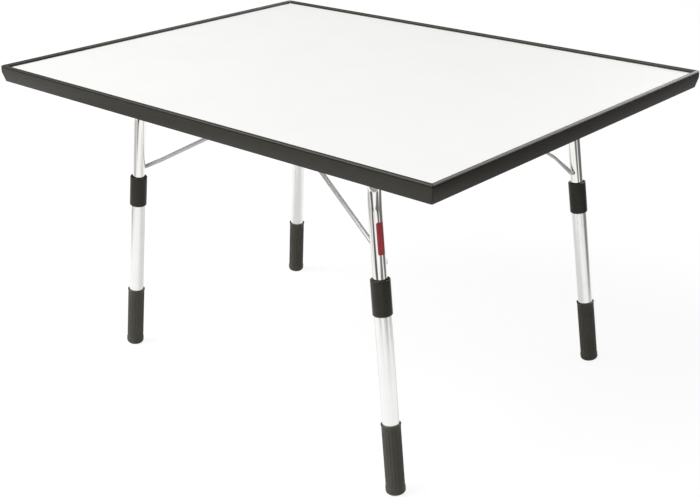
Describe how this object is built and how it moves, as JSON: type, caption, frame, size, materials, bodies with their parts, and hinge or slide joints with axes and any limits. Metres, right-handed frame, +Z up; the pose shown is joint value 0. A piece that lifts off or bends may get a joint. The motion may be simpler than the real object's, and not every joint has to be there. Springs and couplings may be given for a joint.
{
  "type": "camping table",
  "caption": "Low folding camping table with a white board top in a dark edge profile, splayed telescopic legs in nesting bent-tube frames, wire stays and twist-lock sleeves.",
  "frame": {"origin": "on the floor under the middle of the table top", "axes": "+X along the long side of the top towards the wide pair of legs, +Y along the short side, +Z up"},
  "size_m": [0.8, 0.6, 0.4646],
  "materials": {
    "panel_board": "white melamine board, satin",
    "rim_profile": "charcoal edge profile, satin",
    "chrome_tube": "polished chrome",
    "satin_tube": "satin anodised",
    "stay_wire": "bright plated wire",
    "sleeve_plastic": "black, satin",
    "foot_rubber": "black, matt",
    "clip_plastic": "black, matt",
    "bush_nylon": "natural nylon",
    "screw_steel": "zinc plated"
  },
  "bodies": {
    "table_top": {"narrow_pivot_clip_back": "clip_plastic", "narrow_pivot_clip_front": "clip_plastic", "narrow_stay_clip_back": "clip_plastic", "narrow_stay_clip_front": "clip_plastic", "pivot_clip_screws": "screw_steel", "rim_back": "rim_profile", "rim_front": "rim_profile", "rim_left": "rim_profile", "rim_right": "rim_profile", "stay_clip_screws": "screw_steel", "top_panel": "panel_board", "wide_pivot_clip_back": "clip_plastic", "wide_pivot_clip_front": "clip_plastic", "wide_stay_clip_back": "clip_plastic", "wide_stay_clip_front": "clip_plastic"},
    "wide_frame": {"wide_leg_frame": "chrome_tube", "wide_front_guide_bush": "bush_nylon", "wide_back_guide_bush": "bush_nylon"},
    "wide_stay": {"wide_stay": "stay_wire"},
    "narrow_frame": {"narrow_leg_frame": "chrome_tube", "narrow_front_guide_bush": "bush_nylon", "narrow_back_guide_bush": "bush_nylon"},
    "narrow_stay": {"narrow_stay": "stay_wire"},
    "wide_front_leg": {"wide_front_lower_tube": "satin_tube", "wide_front_clamp_collet": "bush_nylon", "wide_front_foot": "foot_rubber"},
    "wide_front_sleeve": {"wide_front_lock_sleeve": "sleeve_plastic"},
    "wide_back_leg": {"wide_back_lower_tube": "satin_tube", "wide_back_clamp_collet": "bush_nylon", "wide_back_foot": "foot_rubber"},
    "wide_back_sleeve": {"wide_back_lock_sleeve": "sleeve_plastic"},
    "narrow_front_leg": {"narrow_front_lower_tube": "satin_tube", "narrow_front_clamp_collet": "bush_nylon", "narrow_front_foot": "foot_rubber"},
    "narrow_front_sleeve": {"narrow_front_lock_sleeve": "sleeve_plastic"},
    "narrow_back_leg": {"narrow_back_lower_tube": "satin_tube", "narrow_back_clamp_collet": "bush_nylon", "narrow_back_foot": "foot_rubber"},
    "narrow_back_sleeve": {"narrow_back_lock_sleeve": "sleeve_plastic"}
  },
  "joints": [
    {"name": "wide_fold", "type": "hinge", "parent": "table_top", "child": "wide_frame", "pos_m": [0.2435, 0, 0.434], "axis": [0, 1, 0], "range_deg": [0, 90]},
    {"name": "narrow_fold", "type": "hinge", "parent": "table_top", "child": "narrow_frame", "pos_m": [-0.2465, 0, 0.434], "axis": [0, -1, 0], "range_deg": [0, 90]},
    {"name": "wide_stay_fold", "type": "hinge", "parent": "table_top", "child": "wide_stay", "pos_m": [0.014, 0, 0.436], "axis": [0, -1, 0], "range_deg": [0, 22]},
    {"name": "narrow_stay_fold", "type": "hinge", "parent": "table_top", "child": "narrow_stay", "pos_m": [-0.014, 0, 0.436], "axis": [0, 1, 0], "range_deg": [0, 22]},
    {"name": "wide_front_height", "type": "slide", "parent": "wide_frame", "child": "wide_front_leg", "axis": [0.12, -0.0427, -0.9918], "range_m": [0, 0.18]},
    {"name": "wide_front_lock", "type": "hinge", "parent": "wide_front_leg", "child": "wide_front_sleeve", "pos_m": [0.26343, -0.2243, 0.2693], "axis": [-0.12, 0.0427, 0.9918], "range_deg": [0, 90]},
    {"name": "wide_back_height", "type": "slide", "parent": "wide_frame", "child": "wide_back_leg", "axis": [0.12, 0.0427, -0.9918], "range_m": [0, 0.18]},
    {"name": "wide_back_lock", "type": "hinge", "parent": "wide_back_leg", "child": "wide_back_sleeve", "pos_m": [0.26343, 0.2243, 0.2693], "axis": [-0.12, -0.0427, 0.9918], "range_deg": [0, 90]},
    {"name": "narrow_front_height", "type": "slide", "parent": "narrow_frame", "child": "narrow_front_leg", "axis": [-0.1148, -0.0427, -0.9925], "range_m": [0, 0.18]},
    {"name": "narrow_front_lock", "type": "hinge", "parent": "narrow_front_leg", "child": "narrow_front_sleeve", "pos_m": [-0.26557, -0.1753, 0.2692], "axis": [0.1148, 0.0427, 0.9925], "range_deg": [0, 90]},
    {"name": "narrow_back_height", "type": "slide", "parent": "narrow_frame", "child": "narrow_back_leg", "axis": [-0.1148, 0.0427, -0.9925], "range_m": [0, 0.18]},
    {"name": "narrow_back_lock", "type": "hinge", "parent": "narrow_back_leg", "child": "narrow_back_sleeve", "pos_m": [-0.26557, 0.1753, 0.2692], "axis": [0.1148, -0.0427, 0.9925], "range_deg": [0, 90]}
  ],
  "couplings": [
    {"joint": "narrow_fold", "follows": "wide_fold", "ratio": 1},
    {"joint": "wide_stay_fold", "follows": "wide_fold", "ratio": 0.244},
    {"joint": "narrow_stay_fold", "follows": "wide_fold", "ratio": 0.244}
  ]
}
